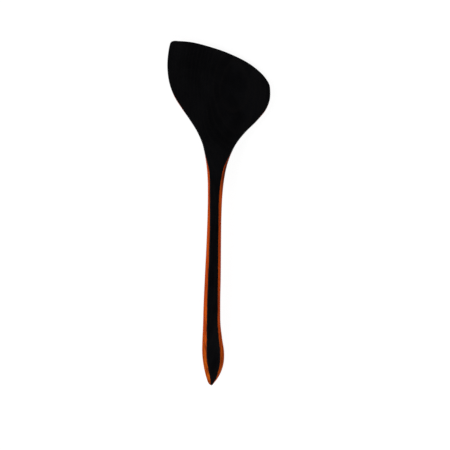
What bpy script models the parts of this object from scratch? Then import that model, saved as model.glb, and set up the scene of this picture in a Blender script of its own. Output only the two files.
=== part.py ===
"""A wooden wok turner, carved in one piece from a hardwood board, with blackened front and back faces.

It lies on its back on a table. +Z is up, the way the working face looks, +Y runs from the handle's end
to the blade and +X is across the blade. The origin is on the table, under the middle of the bounding
box. Lengths are in metres.

Three pieces make it: the bare hardwood body, which shows only round its edges, and a thin black layer
on each face. One outline and two face heights shape all three, so a change of size reaches each piece.
"""

import bpy
import numpy as np

MM = 0.001

# Overall sizes
HANDLE_LENGTH = 222.2 * MM  # handle's end to the neck, where the blade starts to flare
BLADE_LENGTH = 108 * MM  # neck to the far end of the working edge
BLADE_WIDTH = 98.8 * MM  # flank to flank

# Widths of the handle, from its end to the blade
SWELL_WIDTH = 21.1 * MM
GRIP_WIDTH = 16.1 * MM
WAIST_WIDTH = 13.4 * MM
NECK_WIDTH = 25.3 * MM

# Depths, front to back, with both black layers
TIP_DEPTH = 3.8 * MM  # at the handle's very end
GRIP_DEPTH = 13.5 * MM
HEEL_DEPTH = 7.2 * MM  # where the blade rests on the table
EDGE_DEPTH = 2.8 * MM  # at the working edge and the flanks

# Bends of the side view
ARCH_HEIGHT = 7 * MM  # underside of the waist above the table
TIP_LIFT = 5.5 * MM  # underside of the handle's very end above the table
EDGE_LIFT = 7 * MM  # underside of the working edge above the table
SCOOP_DEPTH = 4.5 * MM  # how far the blade's flanks stand above its middle
REST_CUT = 0.7 * MM  # sanded off under the heel and the swelling, so that both lie flat
CROWN = 0.6 * MM  # how far each face of the handle falls away from its middle to its edges

# The black layers
LAYER_THICKNESS = 0.5 * MM
LAYER_GAP = 0.3 * MM  # clearance between a layer and the wood

# The bare edge follows this share of a quarter ellipse from the outline up to each face.
EDGE_FULLNESS = 0.8

# Fineness of the mesh
HANDLE_ROWS = 30
BLADE_ROWS = 28
COLUMNS = 8
EDGE_RINGS = 6
HANDLE_CROWDING = 0.75  # how much closer the rows lie at both ends of the handle
BLADE_CROWDING = 1.3  # power that brings the rows closer at the blade's corner
OUTLINE_STEPS = 4000  # along each side, when its length is measured
CREASE_ANGLE = 25  # degrees; a sharper turn between facets is shaded as a crease


def between(start, end, share):
    return start + share * (end - start)


# A station counts 0 to 1 along the handle and 1 to 2 along the blade. The handle's centre line wanders
# a little from side to side, as a hand-carved one does.
HANDLE = (
    # station, X of the centre line, width, and the rounded edge's share of it on the left and the right
    (0.003, -7.25 * MM, 0.11 * SWELL_WIDTH, 0.60, 0.13),
    (0.011, -7.4 * MM, 0.26 * SWELL_WIDTH, 0.77, 0.10),
    (0.028, -6.65 * MM, 0.47 * SWELL_WIDTH, 0.51, 0.18),
    (0.059, -5.7 * MM, 0.74 * SWELL_WIDTH, 0.33, 0.25),
    (0.093, -5.3 * MM, 0.92 * SWELL_WIDTH, 0.27, 0.24),
    (0.140, -5.5 * MM, SWELL_WIDTH, 0.255, 0.235),
    (0.200, -6.3 * MM, between(GRIP_WIDTH, SWELL_WIDTH, 0.60), 0.27, 0.205),
    (0.260, -6.8 * MM, between(GRIP_WIDTH, SWELL_WIDTH, 0.17), 0.265, 0.195),
    (0.340, -6.7 * MM, GRIP_WIDTH, 0.26, 0.19),
    (0.470, -5.8 * MM, between(WAIST_WIDTH, GRIP_WIDTH, 0.70), 0.265, 0.20),
    (0.625, -4.8 * MM, between(WAIST_WIDTH, GRIP_WIDTH, 0.20), 0.26, 0.24),
    (0.740, -4.15 * MM, WAIST_WIDTH, 0.215, 0.245),
    (0.830, -3.5 * MM, between(WAIST_WIDTH, NECK_WIDTH, 0.06), 0.175, 0.275),
    (0.885, -2.9 * MM, between(WAIST_WIDTH, NECK_WIDTH, 0.19), 0.16, 0.23),
    (0.938, -2.2 * MM, between(WAIST_WIDTH, NECK_WIDTH, 0.44), 0.115, 0.17),
    (1.000, -0.95 * MM, NECK_WIDTH, 0.03, 0.04),
)
TIP_X = -7.3 * MM
TIP_SETBACK = 1.3 * MM  # the faces end this far short of the handle's end
TIP_SHIFT = 0.6 * MM  # and this far to its right
SETBACK_ENDS = 0.06  # station where the faces' setback has faded out

# The blade's two flanks: station, and share of the way out from the neck's side to the full width
LEFT_FLANK = (
    (1.085, 0.06),
    (1.192, 0.195),
    (1.298, 0.39),
    (1.405, 0.615),
    (1.512, 0.817),
    (1.619, 0.94),
    (1.750, 1.0),
    (1.885, 0.98),
    (1.957, 0.94),
    (1.983, 0.915),
)
RIGHT_FLANK = (
    (1.085, 0.122),
    (1.192, 0.36),
    (1.298, 0.665),
    (1.405, 0.905),
    (1.481, 0.985),
    (1.546, 1.0),
    (1.619, 0.975),
    (1.672, 0.885),
)
# The working edge, from the right flank to the corner: station, and X as a share of half the width
WORKING_EDGE = (
    (1.779, 0.670),
    (1.885, 0.248),
    (1.957, -0.207),
    (1.992, -0.536),
    (2.000, -0.770),
    (2.000, -0.880),
)
CORNER = (1.9935, -0.920)
BLADE_EDGE = 0.6 * MM  # width of the rounded edge along the blade
BLADE_EDGE_STARTS = 1.045  # station

# Side view: the underside's height and the depth above it, at stations along the whole object
UNDERSIDE = (
    (0.00, TIP_LIFT),
    (0.03, 0.58 * TIP_LIFT),
    (0.085, 0.3 * MM),
    (0.145, -REST_CUT),
    (0.21, 0.2 * MM),
    (0.34, 0.37 * ARCH_HEIGHT),
    (0.54, 0.80 * ARCH_HEIGHT),
    (0.72, ARCH_HEIGHT),
    (0.88, 0.80 * ARCH_HEIGHT),
    (1.00, 0.42 * ARCH_HEIGHT),
    (1.15, 0.4 * MM),
    (1.35, -REST_CUT),
    (1.55, -0.4 * REST_CUT),
    (1.80, 0.38 * EDGE_LIFT),
    (2.00, EDGE_LIFT),
)
DEPTH = (
    (0.00, TIP_DEPTH),
    (0.03, between(TIP_DEPTH, GRIP_DEPTH, 0.36)),
    (0.08, between(TIP_DEPTH, GRIP_DEPTH, 0.76)),
    (0.145, GRIP_DEPTH),
    (0.54, GRIP_DEPTH),
    (0.88, GRIP_DEPTH),
    (1.00, between(HEEL_DEPTH, GRIP_DEPTH, 0.85)),
    (1.19, between(HEEL_DEPTH, GRIP_DEPTH, 0.33)),
    (1.38, HEEL_DEPTH),
    (1.60, between(EDGE_DEPTH, HEEL_DEPTH, 0.48)),
    (1.80, between(EDGE_DEPTH, HEEL_DEPTH, 0.20)),
    (2.00, EDGE_DEPTH),
)
FLANK_THINNING = 0.55  # share of the extra depth that the blade loses from its middle to its flanks
SCOOP_STARTS = 0.95  # stations between which the scoop comes in and the handle's crown goes out
SCOOP_FULL = 1.45
TURN_STARTS = 0.9  # stations between which the rounded edge turns from lying straight across the
TURN_ENDS = 1.1  # handle to lying square to the blade's outline

BLACK = (0.006, 0.006, 0.008, 1.0)
HARDWOOD = (0.42, 0.12, 0.03, 1.0)


def clear_scene():
    for obj in list(bpy.data.objects):
        bpy.data.objects.remove(obj, do_unlink=True)


def smooth(knots, values, at):
    """Values at `at`, read from a smooth curve through (knots, values)."""
    knots = np.asarray(knots, float)
    values = np.asarray(values, float)
    slopes = np.gradient(values, knots, axis=0)
    i = np.clip(np.searchsorted(knots, at, side="right") - 1, 0, len(knots) - 2)
    span = knots[i + 1] - knots[i]
    t = (at - knots[i]) / span
    if values.ndim > 1:
        span = span[:, None]
        t = t[:, None]
    rise = values[i + 1] - values[i]
    early = slopes[i] * span - rise
    late = rise - slopes[i + 1] * span
    return values[i] + t * rise + t * (1 - t) * ((1 - t) * early + t * late)


def ramp(start, end, at):
    """0 before start, 1 after end and an even S-curve in between."""
    t = np.clip((at - start) / (end - start), 0, 1)
    return t * t * (3 - 2 * t)


def along(station):
    """Y from the handle's end, at a station."""
    return HANDLE_LENGTH * np.minimum(station, 1) + BLADE_LENGTH * np.maximum(station - 1, 0)


def station_at(y):
    return np.minimum(y / HANDLE_LENGTH, 1) + np.maximum(y - HANDLE_LENGTH, 0) / BLADE_LENGTH


def profile(table, station):
    """A size given at stations, read at any station and held past the table's last one."""
    knots, values = zip(*table)
    return smooth(along(np.array(knots)), values, along(np.clip(station, knots[0], knots[-1])))


def side_points(side):
    """One side of the outline, from the handle's end to the blade's corner. side is -1 or +1."""
    points = [(TIP_X, 0.0)]
    points += [(centre + side * width / 2, along(station)) for station, centre, width, *_ in HANDLE]
    half = BLADE_WIDTH / 2
    neck = points[-1][0]
    flank = LEFT_FLANK if side < 0 else RIGHT_FLANK
    points += [(between(neck, side * half, share), along(station)) for station, share in flank]
    edge = (CORNER,) if side < 0 else (*WORKING_EDGE, CORNER)
    points += [(share * half, along(station)) for station, share in edge]
    return np.array(points)


def edge_widths(side):
    """Width of the rounded edge on one side, at stations from the handle's end to the blade."""
    widths = [(station, width * shares[side > 0]) for station, _, width, *shares in HANDLE]
    return [*widths, (BLADE_EDGE_STARTS, BLADE_EDGE)]


def side_rows(side):
    """The side's point on each row: level with the other side on the handle, then in equal shares of
    the way from the neck to the corner."""
    points = side_points(side)
    chord = np.append(0, np.cumsum(np.hypot(*np.diff(points, axis=0).T)))
    fine = np.linspace(0, chord[-1], OUTLINE_STEPS)
    curve = smooth(chord, points, fine)
    walked = np.append(0, np.cumsum(np.hypot(*np.diff(curve, axis=0).T)))

    t = np.linspace(0, 1, HANDLE_ROWS + 1)
    heights = HANDLE_LENGTH * (t - HANDLE_CROWDING * np.sin(2 * np.pi * t) / (2 * np.pi))
    to_neck = curve[:, 1] <= HANDLE_LENGTH
    neck = np.argmin(to_neck)
    handle = np.interp(heights, np.maximum.accumulate(curve[: neck + 1, 1]), walked[: neck + 1])

    t = np.linspace(0, 1, BLADE_ROWS + 1)[1:]
    blade = handle[-1] + (walked[-1] - handle[-1]) * (1 - (1 - t) ** BLADE_CROWDING)
    way = np.concatenate([handle, blade])
    return np.column_stack([np.interp(way, walked, curve[:, k]) for k in (0, 1)])


def outline_and_insets():
    """The outline, anticlockwise as seen from the front, and at each of its points the way in to the
    edge of the faces. Row r has its right point at r and its left point at -r."""
    left = side_rows(-1)
    right = side_rows(1)
    outline = np.concatenate([right, left[-2:0:-1]])
    station = station_at(outline[:, 1])
    on_right = np.arange(len(outline)) < len(right)

    ahead = np.roll(outline, -1, axis=0) - np.roll(outline, 1, axis=0)
    square = np.column_stack([-ahead[:, 1], ahead[:, 0]]) / np.hypot(*ahead.T)[:, None]
    across = np.column_stack([np.where(on_right, -1.0, 1.0), np.zeros(len(outline))])
    turn = ramp(TURN_STARTS, TURN_ENDS, station)[:, None]
    width = np.where(on_right, profile(edge_widths(1), station), profile(edge_widths(-1), station))
    insets = (across * (1 - turn) + square * turn) * width[:, None]
    insets[0] = (TIP_SHIFT, 0)
    insets[:, 1] += TIP_SETBACK * (1 - ramp(0, SETBACK_ENDS, station))
    return outline, insets


def centre_and_half_width(y):
    """The handle's centre line and half width at Y, held level past the neck."""
    station = station_at(y)
    centre = profile([row[:2] for row in HANDLE], station)
    width = profile([(row[0], row[2]) for row in HANDLE], station)
    return centre, width / 2


def faces(x, y):
    """Heights of the back face and of the front face above the table."""
    station = station_at(y)
    shape = ramp(SCOOP_STARTS, SCOOP_FULL, station)
    across = x / (BLADE_WIDTH / 2)
    centre, half = centre_and_half_width(y)
    depth = profile(DEPTH, station)
    crown = CROWN * (1 - shape) * depth / GRIP_DEPTH * np.minimum(((x - centre) / half) ** 2, 1)
    extra = np.maximum(depth - EDGE_DEPTH, 0)
    depth = depth - extra * FLANK_THINNING * shape * across**2
    back = profile(UNDERSIDE, station) + SCOOP_DEPTH * shape * across**2
    return np.maximum(back + crown, 0), back + depth - crown


class Turner:
    """The shared shape that every piece is cut from."""

    def __init__(self):
        self.outline, self.insets = outline_and_insets()
        back, front = faces(*self.outline.T)
        self.half_depth = (front - back) / 2
        self.widest = np.arcsin(EDGE_FULLNESS)
        low = self.outline.min(axis=0)
        high = self.outline.max(axis=0)
        self.middle = (low + high) / 2

    def angle(self, depth):
        """How far round the edge's ellipse a point lies, at a depth below a face."""
        return np.arcsin(EDGE_FULLNESS * (1 - depth / self.half_depth))

    def ring(self, angle):
        """The outline drawn in to where the edge has turned by angle."""
        share = (1 - np.cos(angle)) / (1 - np.cos(self.widest))
        return self.outline + share[:, None] * self.insets

    def heights(self, points, rise):
        """Height at a share of the half depth above the mid surface, from -1 (back) to 1 (front)."""
        back, front = faces(*points.T)
        return (back + front) / 2 + rise * (front - back) / 2


def face_grid(rim, rows):
    """Points of a face inside its rim: straight rows from the left side to the right side."""
    right = rim[1:rows]
    left = rim[:rows:-1]
    shares = np.linspace(0, 1, COLUMNS + 1)[1:-1]
    return left[:, None] + shares[None, :, None] * (right - left)[:, None]


def build_piece(name, top, bottom, edge_rings, material, collection):
    """A closed piece between two depths below the faces. top and bottom are (face, depth), where face
    is 1 for the front and -1 for the back."""
    turner = Turner()
    count = len(turner.outline)
    rows = HANDLE_ROWS + BLADE_ROWS
    start = top[0] * turner.angle(top[1])
    end = bottom[0] * turner.angle(bottom[1])

    rims = []
    points = []
    for share in np.linspace(0, 1, edge_rings + 1):
        angle = start + share * (end - start)
        rim = turner.ring(angle)
        rise = np.sin(angle) / EDGE_FULLNESS
        rims.append(rim)
        points.append(np.column_stack([rim, turner.heights(rim, rise)]))
    quads = []
    for k in range(edge_rings):
        for i in range(count):
            j = (i + 1) % count
            upper = k * count
            lower = upper + count
            quads.append((upper + i, lower + i, lower + j, upper + j))

    used = count * (edge_rings + 1)
    for (face, depth), rim, offset in ((top, rims[0], 0), (bottom, rims[-1], used - count)):
        grid = face_grid(rim, rows).reshape(-1, 2)
        back, front = faces(*grid.T)
        height = front - depth if face > 0 else back + depth
        points.append(np.column_stack([grid, height]))
        quads += cap_faces(offset, used, count, rows, upward=offset == 0)
        used += len(grid)

    points = np.concatenate(points)
    points[:, :2] -= turner.middle
    mesh = bpy.data.meshes.new(name)
    mesh.from_pydata(points.tolist(), [], quads)
    mesh.shade_smooth()
    mesh.set_sharp_from_angle(angle=np.radians(CREASE_ANGLE))
    mesh.materials.append(material)
    piece = bpy.data.objects.new(name, mesh)
    collection.objects.link(piece)
    return piece


def cap_faces(rim, grid, count, rows, upward):
    """Faces of a cap whose rim starts at vertex rim and whose inner points start at vertex grid."""

    def vertex(row, column):
        if row in (0, rows):
            return rim + row
        if column == 0:
            return rim + count - row
        if column == COLUMNS:
            return rim + row
        return grid + (row - 1) * (COLUMNS - 1) + column - 1

    found = []
    for row in range(rows):
        for column in range(COLUMNS):
            corners = [vertex(row, column), vertex(row, column + 1)]
            corners += [vertex(row + 1, column + 1), vertex(row + 1, column)]
            corners = list(dict.fromkeys(corners))
            found.append(corners if upward else corners[::-1])
    return found


def principled(name, colour, roughness):
    material = bpy.data.materials.new(name)
    material.use_nodes = True
    shader = material.node_tree.nodes["Principled BSDF"]
    shader.inputs["Base Color"].default_value = colour
    shader.inputs["Roughness"].default_value = roughness
    shader.inputs["Metallic"].default_value = 0.0
    material.diffuse_color = colour
    return material


def main():
    clear_scene()
    collection = bpy.data.collections.new("wok_turner")
    bpy.context.scene.collection.children.link(collection)
    hardwood = principled("bare_hardwood", HARDWOOD, 0.5)
    black = principled("blackened_wood", BLACK, 0.45)

    under_layer = LAYER_THICKNESS + LAYER_GAP
    front_wood = (1, under_layer)
    back_wood = (-1, under_layer)
    build_piece("hardwood_body", front_wood, back_wood, EDGE_RINGS, hardwood, collection)
    build_piece("front_black_face", (1, 0.0), (1, LAYER_THICKNESS), 1, black, collection)
    build_piece("back_black_face", (-1, LAYER_THICKNESS), (-1, 0.0), 1, black, collection)


main()
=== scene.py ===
"""A carved wooden wok turner with blackened faces and bare oiled edges, lying on a pale floor.

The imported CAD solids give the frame. Three fine surfaces stand for them: the bare wood round the
edges, and the black layers on the front and the back. They follow the CAD's own outline and side
view, joined without its clearances, with the slight unevenness of hand carving.
Lengths are in metres: +Z is up, +Y runs from the handle's end to the blade.
"""

import bmesh
import bpy
import numpy as np
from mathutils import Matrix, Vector


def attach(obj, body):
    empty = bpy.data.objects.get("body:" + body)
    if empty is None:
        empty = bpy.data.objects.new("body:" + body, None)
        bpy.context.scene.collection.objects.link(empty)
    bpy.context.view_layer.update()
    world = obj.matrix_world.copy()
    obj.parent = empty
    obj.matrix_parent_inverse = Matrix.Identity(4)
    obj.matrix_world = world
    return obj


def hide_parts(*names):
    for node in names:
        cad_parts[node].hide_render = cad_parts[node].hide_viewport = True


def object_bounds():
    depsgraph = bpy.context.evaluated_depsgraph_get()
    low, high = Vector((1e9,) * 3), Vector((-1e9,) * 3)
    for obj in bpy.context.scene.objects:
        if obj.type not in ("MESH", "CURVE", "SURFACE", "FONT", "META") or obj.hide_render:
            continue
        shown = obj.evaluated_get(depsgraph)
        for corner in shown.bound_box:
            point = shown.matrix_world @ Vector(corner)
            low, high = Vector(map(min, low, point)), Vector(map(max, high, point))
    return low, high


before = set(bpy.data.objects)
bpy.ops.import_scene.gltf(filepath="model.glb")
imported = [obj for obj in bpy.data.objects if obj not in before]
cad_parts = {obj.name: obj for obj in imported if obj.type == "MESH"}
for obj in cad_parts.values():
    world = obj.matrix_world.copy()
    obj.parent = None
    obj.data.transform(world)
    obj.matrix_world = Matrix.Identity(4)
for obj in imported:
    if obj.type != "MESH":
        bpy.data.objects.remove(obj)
cad_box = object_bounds()

MM = 0.001

# Sizes that the CAD solids were drawn from
HANDLE_LENGTH = 222.2 * MM  # handle's end to the neck, where the blade starts to flare
BLADE_LENGTH = 108 * MM  # neck to the far end of the working edge
BLADE_WIDTH = 98.8 * MM
SWELL_WIDTH = 21.1 * MM
GRIP_WIDTH = 16.1 * MM
WAIST_WIDTH = 13.4 * MM
NECK_WIDTH = 25.3 * MM
TIP_DEPTH = 3.8 * MM  # at the handle's very end
GRIP_DEPTH = 13.5 * MM
HEEL_DEPTH = 7.2 * MM
EDGE_DEPTH = 2.8 * MM  # at the working edge and the flanks
ARCH_HEIGHT = 7 * MM  # underside of the waist above the floor
TIP_LIFT = 5.5 * MM  # underside of the handle's very end above the floor
EDGE_LIFT = 7 * MM  # underside of the working edge above the floor
SCOOP_DEPTH = 4.5 * MM  # how far the blade's flanks stand above its middle
REST_CUT = 0.7 * MM  # sanded off under the heel and the swelling, so that both lie flat
CROWN = 0.6 * MM  # how far each face of the handle falls away from its middle to its edges
LAYER_THICKNESS = 0.5 * MM
EDGE_FULLNESS = 0.8  # the rounded edge follows a quarter ellipse up to this share of its height

# Fineness of the visible surfaces
HANDLE_ROWS = 150
BLADE_ROWS = 130
COLUMNS = 44
WOOD_RINGS = 18  # round the bare edge
RIM_RINGS = 7  # from a face over its rim to the wood
HANDLE_CROWDING = 0.75  # rows close up towards both ends of the handle: 0 is evenly, 1 the most
BLADE_CROWDING = 1.25  # and towards the blade's corner: 1 is evenly
OUTLINE_STEPS = 12000
SAME_POINT = 0.002 * MM

# Softened rims and hand-carved unevenness
RIM_SOFTNESS = 0.35 * MM  # half the width over which the crease at a face's rim is rounded
HANDLE_RIM_SHARE = 0.08  # but at most this share of the rounded edge's width on the handle
BLADE_RIM_SHARE = 0.5  # and this share on the blade
TIP_SOFTNESS = 0.4  # share of the softness that is left at the handle's very end
SOFT_FROM = 0.3  # share of the way in from the outline at which the softening starts
SOFT_FULL = 0.8
SOFT_SAMPLES = 9
CARVING_DEPTH = 0.10 * MM
CARVING_LENGTH = 26 * MM
CARVING_WAVES = (
    # height, waves per carving length along X and along Y, and phase
    (1.0, 0.35, 1.0, 0.0),
    (0.7, 0.61, -0.43, 1.3),
    (0.5, 1.9, 0.95, 2.1),
)
CARVING_FADES = 0.1  # station up to which the handle's end is smoother
FLUTE_DEPTH = 0.05 * MM
FLUTE_WIDTH = 8.5 * MM
FLUTE_BEND = 0.25  # how far the flutes wander aside, in flute widths
FLUTE_BEND_LENGTH = 78 * MM
FLUTES_START = 1.05
FLUTES_FULL = 1.3


def between(start, end, share):
    return start + share * (end - start)


# A station counts 0 to 1 along the handle and 1 to 2 along the blade. The handle's centre line wanders
# a little from side to side, as a hand-carved one does.
HANDLE = (
    # station, X of the centre line, width, and the rounded edge's share of it on the left and the right
    (0.003, -7.25 * MM, 0.11 * SWELL_WIDTH, 0.60, 0.13),
    (0.011, -7.4 * MM, 0.26 * SWELL_WIDTH, 0.77, 0.10),
    (0.028, -6.65 * MM, 0.47 * SWELL_WIDTH, 0.51, 0.18),
    (0.059, -5.7 * MM, 0.74 * SWELL_WIDTH, 0.33, 0.25),
    (0.093, -5.3 * MM, 0.92 * SWELL_WIDTH, 0.27, 0.24),
    (0.140, -5.5 * MM, SWELL_WIDTH, 0.255, 0.235),
    (0.200, -6.3 * MM, between(GRIP_WIDTH, SWELL_WIDTH, 0.60), 0.27, 0.205),
    (0.260, -6.8 * MM, between(GRIP_WIDTH, SWELL_WIDTH, 0.17), 0.265, 0.195),
    (0.340, -6.7 * MM, GRIP_WIDTH, 0.26, 0.19),
    (0.470, -5.8 * MM, between(WAIST_WIDTH, GRIP_WIDTH, 0.70), 0.265, 0.20),
    (0.625, -4.8 * MM, between(WAIST_WIDTH, GRIP_WIDTH, 0.20), 0.26, 0.24),
    (0.740, -4.15 * MM, WAIST_WIDTH, 0.215, 0.245),
    (0.830, -3.5 * MM, between(WAIST_WIDTH, NECK_WIDTH, 0.06), 0.175, 0.275),
    (0.885, -2.9 * MM, between(WAIST_WIDTH, NECK_WIDTH, 0.19), 0.16, 0.23),
    (0.938, -2.2 * MM, between(WAIST_WIDTH, NECK_WIDTH, 0.44), 0.115, 0.17),
    (1.000, -0.95 * MM, NECK_WIDTH, 0.03, 0.04),
)
TIP_X = -7.3 * MM
TIP_SETBACK = 1.3 * MM  # how far back the faces stay from the handle's very end
TIP_SHIFT = 0.6 * MM  # and to the right of it
SETBACK_ENDS = 0.06  # station at which the setback has faded out

# The blade's outline: a flank's points lie at shares of the way from the neck to the blade's half width,
# and the working edge's at shares of that half width from the middle.
LEFT_FLANK = (
    (1.085, 0.06),
    (1.192, 0.195),
    (1.298, 0.39),
    (1.405, 0.615),
    (1.512, 0.817),
    (1.619, 0.94),
    (1.750, 1.0),
    (1.885, 0.98),
    (1.957, 0.94),
    (1.983, 0.915),
)
RIGHT_FLANK = (
    (1.085, 0.122),
    (1.192, 0.36),
    (1.298, 0.665),
    (1.405, 0.905),
    (1.481, 0.985),
    (1.546, 1.0),
    (1.619, 0.975),
    (1.672, 0.885),
)
WORKING_EDGE = (
    (1.779, 0.670),
    (1.885, 0.248),
    (1.957, -0.207),
    (1.992, -0.536),
    (2.000, -0.770),
    (2.000, -0.880),
)
CORNER = (1.9935, -0.920)
BLADE_EDGE = 0.6 * MM  # width of the rounded edge
BLADE_EDGE_STARTS = 1.045

UNDERSIDE = (
    # station, and height of the back face in the middle
    (0.00, TIP_LIFT),
    (0.03, 0.58 * TIP_LIFT),
    (0.085, 0.3 * MM),
    (0.145, -REST_CUT),
    (0.21, 0.2 * MM),
    (0.34, 0.37 * ARCH_HEIGHT),
    (0.54, 0.80 * ARCH_HEIGHT),
    (0.72, ARCH_HEIGHT),
    (0.88, 0.80 * ARCH_HEIGHT),
    (1.00, 0.42 * ARCH_HEIGHT),
    (1.15, 0.4 * MM),
    (1.35, -REST_CUT),
    (1.55, -0.4 * REST_CUT),
    (1.80, 0.38 * EDGE_LIFT),
    (2.00, EDGE_LIFT),
)
DEPTH = (
    # station, and depth in the middle
    (0.00, TIP_DEPTH),
    (0.03, between(TIP_DEPTH, GRIP_DEPTH, 0.36)),
    (0.08, between(TIP_DEPTH, GRIP_DEPTH, 0.76)),
    (0.145, GRIP_DEPTH),
    (0.54, GRIP_DEPTH),
    (0.88, GRIP_DEPTH),
    (1.00, between(HEEL_DEPTH, GRIP_DEPTH, 0.85)),
    (1.19, between(HEEL_DEPTH, GRIP_DEPTH, 0.33)),
    (1.38, HEEL_DEPTH),
    (1.60, between(EDGE_DEPTH, HEEL_DEPTH, 0.48)),
    (1.80, between(EDGE_DEPTH, HEEL_DEPTH, 0.20)),
    (2.00, EDGE_DEPTH),
)
FLANK_THINNING = 0.55  # share of the extra depth that the blade loses from its middle to its flanks
SCOOP_STARTS = 0.95  # stations between which the scoop comes in and the handle's crown goes out
SCOOP_FULL = 1.45
TURN_STARTS = 0.9  # up to here the edge's width runs straight across the handle
TURN_ENDS = 1.1  # and from here on square to the outline

# How far the black reaches round the blade's edge, at stations: 1 is to the middle of its depth and 0
# leaves the wood bare. Only a sliver of wood shows again on each flank of the blade.
LEFT_WRAP = ((0.925, 0.0), (1.035, 1.0), (1.33, 1.0), (1.44, 0.35), (1.48, 0.35), (1.58, 1.0))
RIGHT_WRAP = ((0.935, 0.0), (1.040, 1.0), (1.25, 1.0), (1.36, 0.35), (1.41, 0.35), (1.52, 1.0))


# Shape


def smooth(knots, values, at):
    """Values at `at`, read from a smooth curve through (knots, values)."""
    knots = np.asarray(knots, float)
    values = np.asarray(values, float)
    slopes = np.gradient(values, knots, axis=0)
    i = np.clip(np.searchsorted(knots, at, side="right") - 1, 0, len(knots) - 2)
    span = knots[i + 1] - knots[i]
    t = (at - knots[i]) / span
    if values.ndim > 1:
        span = span[:, None]
        t = t[:, None]
    rise = values[i + 1] - values[i]
    early = slopes[i] * span - rise
    late = rise - slopes[i + 1] * span
    return values[i] + t * rise + t * (1 - t) * ((1 - t) * early + t * late)


def ramp(start, end, at):
    """0 before start, 1 after end and an even S-curve in between."""
    t = np.clip((at - start) / (end - start), 0, 1)
    return t * t * (3 - 2 * t)


def along(station):
    """Y from the handle's end, at a station."""
    return HANDLE_LENGTH * np.minimum(station, 1) + BLADE_LENGTH * np.maximum(station - 1, 0)


def station_at(y):
    return np.minimum(y / HANDLE_LENGTH, 1) + np.maximum(y - HANDLE_LENGTH, 0) / BLADE_LENGTH


def profile(table, station):
    """A size given at stations, read at any station and held past the table's ends."""
    knots, values = zip(*table)
    return smooth(along(np.array(knots)), values, along(np.clip(station, knots[0], knots[-1])))


def side_points(side):
    """One side of the outline, from the handle's end to the blade's corner. side is -1 or +1."""
    points = [(TIP_X, 0.0)]
    points += [(centre + side * width / 2, along(station)) for station, centre, width, *_ in HANDLE]
    half = BLADE_WIDTH / 2
    neck = points[-1][0]
    flank = LEFT_FLANK if side < 0 else RIGHT_FLANK
    points += [(between(neck, side * half, share), along(station)) for station, share in flank]
    edge = (CORNER,) if side < 0 else (*WORKING_EDGE, CORNER)
    points += [(share * half, along(station)) for station, share in edge]
    return np.array(points)


def edge_widths(side):
    """Width of the rounded edge on one side, at stations from the handle's end to the blade."""
    widths = [(station, width * shares[side > 0]) for station, _, width, *shares in HANDLE]
    return [*widths, (BLADE_EDGE_STARTS, BLADE_EDGE)]


def side_rows(side):
    """The side's point on each row: level with the other side's on the handle, then as large a share of
    the way from the neck to the corner as the other side's."""
    points = side_points(side)
    chord = np.append(0, np.cumsum(np.hypot(*np.diff(points, axis=0).T)))
    fine = np.linspace(0, chord[-1], OUTLINE_STEPS)
    curve = smooth(chord, points, fine)
    walked = np.append(0, np.cumsum(np.hypot(*np.diff(curve, axis=0).T)))

    t = np.linspace(0, 1, HANDLE_ROWS + 1)
    heights = HANDLE_LENGTH * (t - HANDLE_CROWDING * np.sin(2 * np.pi * t) / (2 * np.pi))
    neck = np.argmin(curve[:, 1] <= HANDLE_LENGTH)
    handle = np.interp(heights, np.maximum.accumulate(curve[: neck + 1, 1]), walked[: neck + 1])

    t = np.linspace(0, 1, BLADE_ROWS + 1)[1:]
    blade = handle[-1] + (walked[-1] - handle[-1]) * (1 - (1 - t) ** BLADE_CROWDING)
    way = np.concatenate([handle, blade])
    return np.column_stack([np.interp(way, walked, curve[:, k]) for k in (0, 1)])


def unevenness(x, y):
    """Height that hand carving left on the front: a slow swell, and shallow flutes along the blade."""
    turn = 2 * np.pi / CARVING_LENGTH
    swell = sum(high * np.sin(turn * (a * x + b * y) + phase) for high, a, b, phase in CARVING_WAVES)
    station = station_at(y)
    bend = FLUTE_BEND * np.sin(2 * np.pi * y / FLUTE_BEND_LENGTH)
    flutes = np.cos(2 * np.pi * (x / FLUTE_WIDTH + bend)) * ramp(FLUTES_START, FLUTES_FULL, station)
    return ramp(0, CARVING_FADES, station) * (CARVING_DEPTH / 2 * swell + FLUTE_DEPTH / 2 * flutes)


def faces(x, y):
    """Heights of the back face and of the front face above the floor."""
    station = station_at(y)
    shape = ramp(SCOOP_STARTS, SCOOP_FULL, station)
    across = x / (BLADE_WIDTH / 2)
    centre = profile([row[:2] for row in HANDLE], station)
    half = profile([(row[0], row[2]) for row in HANDLE], station) / 2
    depth = profile(DEPTH, station)
    crown = CROWN * (1 - shape) * depth / GRIP_DEPTH * np.minimum(((x - centre) / half) ** 2, 1)
    extra = np.maximum(depth - EDGE_DEPTH, 0)
    depth = depth - extra * FLANK_THINNING * shape * across**2
    back = profile(UNDERSIDE, station) + SCOOP_DEPTH * shape * across**2
    front = back + depth - crown + unevenness(x, y)
    return np.maximum(back + crown, 0), front


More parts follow.
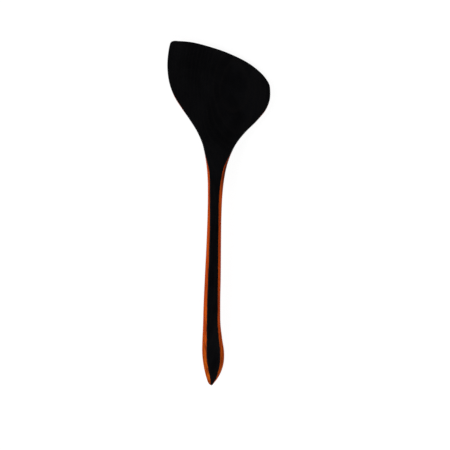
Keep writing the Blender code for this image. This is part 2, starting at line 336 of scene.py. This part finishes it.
class Turner:
    """The outline, the rounded edge and the heights that every visible surface is built on. Row r has
    its right point at outline index r and its left point at -r."""

    def __init__(self):
        left = side_rows(-1)
        right = side_rows(1)
        self.rows = len(right) - 1
        self.outline = np.concatenate([right, left[-2:0:-1]])
        self.station = station_at(self.outline[:, 1])
        self.on_right = np.arange(len(self.outline)) < len(right)

        ahead = np.roll(self.outline, -1, axis=0) - np.roll(self.outline, 1, axis=0)
        square = np.column_stack([-ahead[:, 1], ahead[:, 0]]) / np.hypot(*ahead.T)[:, None]
        across = np.column_stack([self.by_side(1.0, -1.0), np.zeros(len(ahead))])
        on_blade = ramp(TURN_STARTS, TURN_ENDS, self.station)
        width = self.by_side(*(profile(edge_widths(side), self.station) for side in (-1, 1)))
        self.insets = between(across, square, on_blade[:, None]) * width[:, None]
        self.insets[0] = (TIP_SHIFT, 0)
        self.insets[:, 1] += TIP_SETBACK * (1 - ramp(0, SETBACK_ENDS, self.station))

        back, front = faces(*self.outline.T)
        self.half_depth = (front - back) / 2
        self.widest = np.arcsin(EDGE_FULLNESS)
        self.soft = np.minimum(RIM_SOFTNESS / width, between(HANDLE_RIM_SHARE, BLADE_RIM_SHARE, on_blade))
        self.soft *= between(TIP_SOFTNESS, 1, ramp(0, SETBACK_ENDS, self.station))
        self.middle = (self.outline.min(axis=0) + self.outline.max(axis=0)) / 2

    def by_side(self, left, right):
        return np.where(self.on_right, right, left)

    def share_at(self, depth):
        """How far in from the outline (0) to the rim (1) the edge lies at a depth below a face."""
        angle = np.arcsin(EDGE_FULLNESS * (1 - depth / self.half_depth))
        return (1 - np.cos(angle)) / (1 - np.cos(self.widest))

    def drop(self, share):
        """How far the edge lies below its face at a share of the way in from the outline, where 1 is
        half the depth."""
        cosine = 1 - np.clip(share, 0, 1) * (1 - np.cos(self.widest))
        return 1 - np.sqrt(1 - cosine**2) / EDGE_FULLNESS

    def soft_drop(self, share):
        """The same with the crease at the rim rounded off."""
        spread = self.soft * np.clip((share - SOFT_FROM) / (SOFT_FULL - SOFT_FROM), 0, 1)
        samples = np.linspace(-1, 1, SOFT_SAMPLES)
        return np.mean([self.drop(share + sample * spread) for sample in samples], axis=0)

    def ring(self, share):
        """The outline moved in by a share of the rounded edge's width."""
        return self.outline + share[:, None] * self.insets

    def place(self, points, side, drop):
        """The points with their heights: side 1 measures drop down from the front, -1 up from the back."""
        back, front = faces(*points.T)
        middle = (back + front) / 2
        height = middle + side * (1 - drop) * (front - back) / 2
        return np.column_stack([points, height])


def eased(table, station):
    """A table's values with an even S-curve from each one to the next, held past its ends."""
    knots, values = (np.array(column) for column in zip(*table))
    i = np.clip(np.searchsorted(knots, station, side="right") - 1, 0, len(knots) - 2)
    return between(values[i], values[i + 1], ramp(knots[i], knots[i + 1], station))


def black_border(turner):
    """Share of the way in at which the black layer meets the bare wood, all round the outline."""
    left, right = (eased(table, turner.station) for table in (LEFT_WRAP, RIGHT_WRAP))
    return turner.share_at(LAYER_THICKNESS) * (1 - turner.by_side(left, right))


def band(upper, lower, count):
    """Quads between two rings that start at vertices upper and lower."""
    i = np.arange(count)
    j = (i + 1) % count
    return np.column_stack([upper + i, lower + i, lower + j, upper + j]).tolist()


def cap(turner, rim_points, rim, grid):
    """Inner points of a cap in straight rows between its rim's two sides, and its faces, seen from +Z.
    rim and grid are the first vertex of the rim and of the inner points."""
    count = len(turner.outline)
    rows = turner.rows
    right = rim_points[1:rows]
    left = rim_points[:rows:-1]
    shares = np.linspace(0, 1, COLUMNS + 1)[1:-1]
    inner = (left[:, None] + shares[None, :, None] * (right - left)[:, None]).reshape(-1, 2)

    def vertex(row, column):
        if row in (0, rows) or column == COLUMNS:
            return rim + row
        if column == 0:
            return rim + count - row
        return grid + (row - 1) * (COLUMNS - 1) + column - 1

    found = []
    for row in range(rows):
        for column in range(COLUMNS):
            corners = (
                vertex(row, column),
                vertex(row, column + 1),
                vertex(row + 1, column + 1),
                vertex(row + 1, column),
            )
            found.append(list(dict.fromkeys(corners)))
    return inner, found


def seam(turner, side, rim, first):
    """The hidden surface on which a black layer and the wood meet, and its faces, seen from +Z. It starts
    at a ring of vertices at rim, steps in to below the face's own rim, and its points start at first."""
    count = len(turner.outline)
    ring = turner.ring(1 + turner.soft)
    inner, found = cap(turner, ring, first, first + count)
    points = np.concatenate([ring, inner])
    back, front = faces(*points.T)
    return turner.place(points, side, 2 * LAYER_THICKNESS / (front - back)), band(first, rim, count) + found


def add_mesh(name, points, polygons, values, turner):
    """A smooth-shaded object with a float attribute called border on its points. Points that coincide,
    where the black has closed over the wood, become one."""
    points = np.array(points)
    points[:, :2] -= turner.middle
    mesh = bpy.data.meshes.new(name)
    mesh.from_pydata(points.tolist(), [], polygons)
    border = mesh.attributes.new("border", "FLOAT", "POINT")
    border.data.foreach_set("value", np.asarray(values, np.float32))
    fused = bmesh.new()
    fused.from_mesh(mesh)
    bmesh.ops.remove_doubles(fused, verts=fused.verts, dist=SAME_POINT)
    fused.to_mesh(mesh)
    fused.free()
    mesh.shade_smooth()
    mesh.update()
    piece = bpy.data.objects.new(name, mesh)
    bpy.context.scene.collection.objects.link(piece)
    return piece


def black_layer(turner, name, side):
    """A closed skin: its face, its softened rim, the edge down to the wood, and its hidden underside.
    border rises over the rim, from 0 on the face to 1 where the layer meets the bare wood."""
    count = len(turner.outline)
    inner_share = 1 + turner.soft
    border = black_border(turner)
    points = []
    values = []
    quads = []
    for k in range(RIM_RINGS + 1):
        share = between(inner_share, border, k / RIM_RINGS)
        rim = turner.ring(share)
        points.append(turner.place(rim, side, turner.soft_drop(share)))
        values.append(np.full(count, k / RIM_RINGS))
        if k:
            quads += band((k - 1) * count, k * count, count)
    used = (RIM_RINGS + 1) * count

    inner, found = cap(turner, turner.ring(inner_share), 0, used)
    points.append(turner.place(inner, side, 0.0))
    values.append(np.zeros(len(inner)))
    quads += found
    used += len(inner)

    hidden, found = seam(turner, side, RIM_RINGS * count, used)
    points.append(hidden)
    values.append(np.ones(len(hidden)))
    quads += [corners[::-1] for corners in found]
    if side < 0:
        quads = [corners[::-1] for corners in quads]
    return add_mesh(name, np.concatenate(points), quads, np.concatenate(values), turner)


def bare_wood(turner, name):
    """A closed body: the rounded edge between the two black layers, and the hidden wood under them.
    border is 1 along the black layers and falls to 0 at the outline."""
    count = len(turner.outline)
    border = black_border(turner)
    full = 1 - np.cos(turner.widest)
    start = np.arccos(1 - border * full)
    points = []
    values = []
    quads = []
    for k in range(WOOD_RINGS + 1):
        turned = 1 - 2 * k / WOOD_RINGS
        angle = start * turned
        share = (1 - np.cos(angle)) / full
        drop = turner.soft_drop(share)
        points.append(turner.place(turner.ring(share), 1 if turned >= 0 else -1, drop))
        values.append(np.full(count, abs(turned)))
        if k:
            quads += band((k - 1) * count, k * count, count)
    used = (WOOD_RINGS + 1) * count
    for side, rim in ((1, 0), (-1, WOOD_RINGS * count)):
        hidden, found = seam(turner, side, rim, used)
        points.append(hidden)
        values.append(np.ones(len(hidden)))
        quads += found if side > 0 else [corners[::-1] for corners in found]
        used += len(hidden)
    return add_mesh(name, np.concatenate(points), quads, np.concatenate(values), turner)


# Materials


class Nodes:
    """Short ways to add shader nodes to a new material."""

    def __init__(self, name):
        self.material = bpy.data.materials.new(name)
        self.material.use_nodes = True
        self.tree = self.material.node_tree
        self.shader = self.tree.nodes["Principled BSDF"]

    def feed(self, socket, value):
        if isinstance(value, bpy.types.NodeSocket):
            self.tree.links.new(value, socket)
        else:
            socket.default_value = value

    def math(self, operation, a, b=0.0):
        node = self.tree.nodes.new("ShaderNodeMath")
        node.operation = operation
        self.feed(node.inputs[0], a)
        self.feed(node.inputs[1], b)
        return node.outputs[0]

    def coordinate(self, axis):
        """One object coordinate: X, Y or Z."""
        place = self.tree.nodes.new("ShaderNodeTexCoord")
        split = self.tree.nodes.new("ShaderNodeSeparateXYZ")
        self.feed(split.inputs[0], place.outputs["Object"])
        return split.outputs[axis]

    def noise(self, per_metre, detail, roughness=0.5):
        """Noise from 0 to 1 in object coordinates, with so many waves per metre along X, Y and Z."""
        place = self.tree.nodes.new("ShaderNodeTexCoord")
        scaled = self.tree.nodes.new("ShaderNodeMapping")
        scaled.inputs["Scale"].default_value = per_metre
        self.feed(scaled.inputs["Vector"], place.outputs["Object"])
        node = self.tree.nodes.new("ShaderNodeTexNoise")
        node.inputs["Scale"].default_value = 1.0
        node.inputs["Detail"].default_value = detail
        node.inputs["Roughness"].default_value = roughness
        self.feed(node.inputs["Vector"], scaled.outputs["Vector"])
        return node.outputs["Fac"]

    def levels(self, value, low, high, to_low=0.0, to_high=1.0):
        """An even S-curve from to_low, where the value is low, to to_high, where it is high."""
        node = self.tree.nodes.new("ShaderNodeMapRange")
        node.interpolation_type = "SMOOTHSTEP"
        self.feed(node.inputs["Value"], value)
        node.inputs["From Min"].default_value = low
        node.inputs["From Max"].default_value = high
        node.inputs["To Min"].default_value = to_low
        node.inputs["To Max"].default_value = to_high
        return node.outputs["Result"]

    def mix(self, share, a, b, blend="MIX"):
        """Colour a with a share of colour b over it."""
        node = self.tree.nodes.new("ShaderNodeMix")
        node.data_type = "RGBA"
        node.blend_type = blend
        self.feed(node.inputs[0], share)
        self.feed(node.inputs[6], a)  # 6, 7 and output 2 are the sockets for colours
        self.feed(node.inputs[7], b)
        return node.outputs[2]

    def attribute(self, name):
        node = self.tree.nodes.new("ShaderNodeAttribute")
        node.attribute_name = name
        return node.outputs["Fac"]

    def bump(self, height, distance, strength, normal=None):
        """A normal for a surface raised by up to distance, on top of another bump's normal if given."""
        node = self.tree.nodes.new("ShaderNodeBump")
        node.inputs["Distance"].default_value = distance
        node.inputs["Strength"].default_value = strength
        self.feed(node.inputs["Height"], height)
        if normal is not None:
            self.feed(node.inputs["Normal"], normal)
        return node.outputs["Normal"]


GROWTH_RING = 2.3 * MM  # between two dark lines of late wood
RING_WANDER = 6 * MM
PITH_BELOW = 42 * MM  # the tree's middle, under the board and to its right
PITH_ASIDE = 17 * MM
DARKENED_TIP_LENGTH = 3 * MM  # how far from the handle's end the wood is darkened
HELD_FROM = 20 * MM  # the hand has worn the wood to a paler brown up to here, and less up to HELD_TO
HELD_TO = 60 * MM
NECK_SHADE_FROM = 200 * MM  # painted shade on the right edge's middle from the neck on, for its side turned away from the light, with a ragged start
NECK_SHADE_TO = 224 * MM
NECK_SHADE_RAGGED = 45 * MM
NECK_SHADE_SIDE = (-4 * MM, 0.0)  # X over which the painted shade sets in, from left to right

# Colours, in linear light
WOOD = (0.375, 0.052, 0.002, 1)
REDDER_WOOD = (0.315, 0.036, 0.0015, 1)
WOOD_STREAK = (0.18, 0.015, 0.001, 1)
LATE_WOOD = (0.11, 0.009, 0.001, 1)
FIBRE = (0.46, 0.085, 0.004, 1)
PORE = (0.06, 0.009, 0.002, 1)
HELD_TINT = (0.92, 1.25, 1.3, 1)
DARKENED_TIP = (0.010, 0.003, 0.002, 1)
# painted shade, standing for the shadow side of the right edge at the neck
PAINTED_NECK_SHADE = (0.035, 0.006, 0.003, 1)
WOOD_BORDER = (0.035, 0.008, 0.004, 1)
BLACK = (0.0013, 0.0013, 0.0016, 1)
PALER_BLACK = (0.0022, 0.0022, 0.0026, 1)
BLACK_LATE_WOOD = (0.0035, 0.0030, 0.0030, 1)
RUBBED_BROWN = (0.045, 0.013, 0.006, 1)


def growth_rings(n):
    """A saw-tooth from 0 to 1 across each year's growth, in wood sawn flat along the handle."""
    wander = n.noise((28, 9, 28), detail=2.0)
    x = n.math("ADD", n.coordinate("X"), -PITH_ASIDE)
    z = n.math("ADD", n.coordinate("Z"), PITH_BELOW)
    reach = n.math("SQRT", n.math("ADD", n.math("MULTIPLY", x, x), n.math("MULTIPLY", z, z)))
    reach = n.math("ADD", reach, n.math("MULTIPLY", wander, RING_WANDER))
    return n.math("FRACT", n.math("DIVIDE", reach, GROWTH_RING))


def hardwood():
    """Oiled orange-brown hardwood: growth rings, streaks along the handle, pores, a paler grip, a dark
    end, painted shade on the right edge from the neck on and a dark border."""
    n = Nodes("bare_hardwood")
    ring = growth_rings(n)
    late = n.math("MULTIPLY", n.levels(ring, 0.45, 0.93), n.levels(ring, 1.0, 0.95))
    streaks = n.noise((950, 24, 950), detail=4.0, roughness=0.6)
    fibres = n.noise((3600, 70, 3600), detail=2.0)
    patches = n.noise((60, 22, 60), detail=2.0)
    pores = n.levels(n.noise((5200, 210, 5200), detail=1.0), 0.66, 0.74)
    y = n.coordinate("Y")
    border = n.attribute("border")

    colour = n.mix(n.levels(patches, 0.3, 0.7), WOOD, REDDER_WOOD)
    colour = n.mix(n.levels(streaks, 0.38, 0.68), colour, WOOD_STREAK)
    colour = n.mix(n.math("MULTIPLY", late, 0.55), colour, LATE_WOOD)
    colour = n.mix(n.levels(fibres, 0.55, 0.8, 0.0, 0.35), colour, FIBRE)
    colour = n.mix(n.math("MULTIPLY", pores, 0.6), colour, PORE)

    handle_end = cad_box[0][1]
    held = n.levels(y, handle_end + HELD_FROM, handle_end + HELD_TO, 1.0, 0.0)
    colour = n.mix(held, colour, HELD_TINT, "MULTIPLY")
    # Darker towards the handle's very end
    darkened_tip = n.levels(y, handle_end, handle_end + DARKENED_TIP_LENGTH, 0.95, 0.0)
    colour = n.mix(darkened_tip, colour, DARKENED_TIP)

    # Painted shade: the outer part of the right edge, from the neck on, is darkened where it turns away
    # from the light
    ragged_y = n.math("ADD", y, n.math("MULTIPLY", streaks, NECK_SHADE_RAGGED))
    neck_shade = n.levels(ragged_y, handle_end + NECK_SHADE_FROM, handle_end + NECK_SHADE_TO)
    neck_shade = n.math("MULTIPLY", neck_shade, n.levels(n.coordinate("X"), *NECK_SHADE_SIDE))
    ragged = n.math("ADD", border, n.levels(streaks, 0.2, 0.8, -0.1, 0.1))
    neck_shade = n.math("MULTIPLY", neck_shade, n.levels(ragged, 0.90, 0.74))
    colour = n.mix(n.math("MULTIPLY", neck_shade, 0.85), colour, PAINTED_NECK_SHADE)

    ragged = n.math("ADD", border, n.levels(streaks, 0.2, 0.8, -0.05, 0.05))
    colour = n.mix(n.levels(ragged, 0.90, 1.02, 0.0, 0.85), colour, WOOD_BORDER)
    n.feed(n.shader.inputs["Base Color"], colour)

    n.shader.inputs["Specular IOR Level"].default_value = 0.04
    n.shader.inputs["IOR"].default_value = 1.2
    rough = n.levels(streaks, 0.2, 0.8, 0.46, 0.60)
    n.feed(n.shader.inputs["Roughness"], n.math("ADD", rough, n.math("MULTIPLY", pores, 0.2)))
    normal = n.bump(streaks, distance=0.05 * MM, strength=0.7)
    normal = n.bump(n.math("SUBTRACT", fibres, pores), distance=0.03 * MM, strength=0.6, normal=normal)
    n.feed(n.shader.inputs["Normal"], normal)
    return n.material


def blackened():
    """A satin black that leaves the wood's grain to be felt: raised fibres, open pores, a duller patch
    here and there, and a trace of the wood's brown where its rim has been rubbed."""
    n = Nodes("blackened_wood")
    ring = growth_rings(n)
    late = n.math("MULTIPLY", n.levels(ring, 0.5, 0.92), n.levels(ring, 1.0, 0.95))
    streaks = n.noise((900, 22, 900), detail=4.0, roughness=0.6)
    pores = n.levels(n.noise((3800, 170, 3800), detail=1.0), 0.62, 0.72)
    patches = n.noise((45, 30, 45), detail=3.0)
    smudges = n.noise((150, 110, 150), detail=5.0, roughness=0.65)

    colour = n.mix(n.levels(patches, 0.35, 0.65), BLACK, PALER_BLACK)
    colour = n.mix(n.math("MULTIPLY", late, 0.3), colour, BLACK_LATE_WOOD)
    rubbed = n.math("ADD", n.attribute("border"), n.levels(smudges, 0.3, 0.7, -0.5, 0.0))
    colour = n.mix(n.levels(rubbed, 0.72, 1.0, 0.0, 0.5), colour, RUBBED_BROWN)
    n.feed(n.shader.inputs["Base Color"], colour)

    n.shader.inputs["Specular IOR Level"].default_value = 0.015
    duller = n.levels(smudges, 0.3, 0.8, 0.0, 0.07)
    rough = n.math("ADD", n.levels(patches, 0.25, 0.75, 0.38, 0.46), duller)
    rough = n.math("ADD", rough, n.math("MULTIPLY", pores, 0.10))
    n.feed(n.shader.inputs["Roughness"], rough)
    normal = n.bump(n.math("MULTIPLY", late, -1.0), distance=0.02 * MM, strength=0.5)
    normal = n.bump(streaks, distance=0.04 * MM, strength=0.5, normal=normal)
    normal = n.bump(n.math("MULTIPLY", pores, -1.0), distance=0.03 * MM, strength=0.5, normal=normal)
    n.feed(n.shader.inputs["Normal"], normal)
    return n.material


def pale_floor():
    """A dull floor that glows evenly, like a light table."""
    n = Nodes("pale_floor")
    n.shader.inputs["Base Color"].default_value = FLOOR_GREY
    n.shader.inputs["Emission Color"].default_value = WHITE
    n.shader.inputs["Emission Strength"].default_value = FLOOR_GLOW
    n.shader.inputs["Roughness"].default_value = 1.0
    n.shader.inputs["Specular IOR Level"].default_value = 0.0
    return n.material


# Scene

PICTURE_SPAN = 431.2 * MM  # across the picture, at the turner
PICTURE_CENTRE = (5.9 * MM, -11.2 * MM)  # what the picture's middle shows
SILHOUETTE_HEIGHT = 10 * MM
CAMERA_HEIGHT = 1.6
CAMERA_REACH = 100.0
SENSOR = 36.0  # mm
FLOOR_SIZE = 30.0
FLOOR_GREY = (0.13, 0.13, 0.13, 1)
FLOOR_GLOW = 0.90
WHITE = (1, 1, 1, 1)
HORIZON = 0.15  # height above the horizon, of 1 overhead, up to which the room is bright
DARK_OVERHEAD = 0.55  # and from which it is dark
SOFTBOXES = (
    # name, place, size and power in watts
    ("key_from_left", (-2.4, 0.3, 1.3), 2.7, 108),
    ("fill_from_right", (1.6, -2.1, 1.7), 2.2, 84),
    ("fill_from_blade", (0.2, 2.6, 1.0), 2.4, 18),
    ("fill_from_handle", (-0.2, -2.5, 1.2), 2.4, 30),
)


def add_floor():
    bpy.ops.mesh.primitive_plane_add(size=FLOOR_SIZE)
    floor = bpy.context.object
    floor.name = "floor"
    floor.data.materials.append(pale_floor())


def add_camera():
    """A camera straight above the turner, square on to its front."""
    data = bpy.data.cameras.new("camera")
    data.sensor_width = SENSOR
    data.lens = SENSOR * CAMERA_HEIGHT / PICTURE_SPAN
    data.clip_end = CAMERA_REACH
    camera = bpy.data.objects.new("camera", data)
    camera.location = (*PICTURE_CENTRE, CAMERA_HEIGHT + SILHOUETTE_HEIGHT)
    bpy.context.scene.collection.objects.link(camera)
    bpy.context.scene.camera = camera


def add_softbox(name, place, size, power):
    """A square soft light at place, turned towards the turner."""
    data = bpy.data.lights.new(name, "AREA")
    data.shape = "SQUARE"
    data.size = size
    data.energy = power
    light = bpy.data.objects.new(name, data)
    light.location = place
    light.rotation_euler = Vector(place).to_track_quat("Z", "Y").to_euler()
    bpy.context.scene.collection.objects.link(light)


def add_surroundings():
    """A pale room that is bright towards the horizon and dark straight overhead."""
    world = bpy.data.worlds.new("room")
    world.use_nodes = True
    tree = world.node_tree
    place = tree.nodes.new("ShaderNodeTexCoord")
    split = tree.nodes.new("ShaderNodeSeparateXYZ")
    fade = tree.nodes.new("ShaderNodeMapRange")
    fade.interpolation_type = "SMOOTHSTEP"
    fade.inputs["From Min"].default_value = HORIZON
    fade.inputs["From Max"].default_value = DARK_OVERHEAD
    fade.inputs["To Min"].default_value = 1.0
    fade.inputs["To Max"].default_value = 0.0
    tree.links.new(place.outputs["Generated"], split.inputs[0])
    tree.links.new(split.outputs["Z"], fade.inputs["Value"])
    tree.links.new(fade.outputs["Result"], tree.nodes["Background"].inputs["Strength"])
    tree.nodes["Background"].inputs["Color"].default_value = WHITE
    bpy.context.scene.world = world


def main():
    add_camera()
    turner = Turner()
    black = blackened()
    pieces = (
        (bare_wood(turner, "bare_wood"), "hardwood_body", "bare_hardwood", hardwood()),
        (black_layer(turner, "front_black", 1), "front_black_face", "blackened_wood", black),
        (black_layer(turner, "back_black", -1), "back_black_face", "blackened_wood", black),
    )
    for piece, node, slot, material in pieces:
        piece.data.materials.append(material)
        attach(piece, "root")
        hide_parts(node)

    add_floor()
    add_surroundings()
    for softbox in SOFTBOXES:
        add_softbox(*softbox)
    bpy.context.scene.view_settings.view_transform = "Standard"


main()
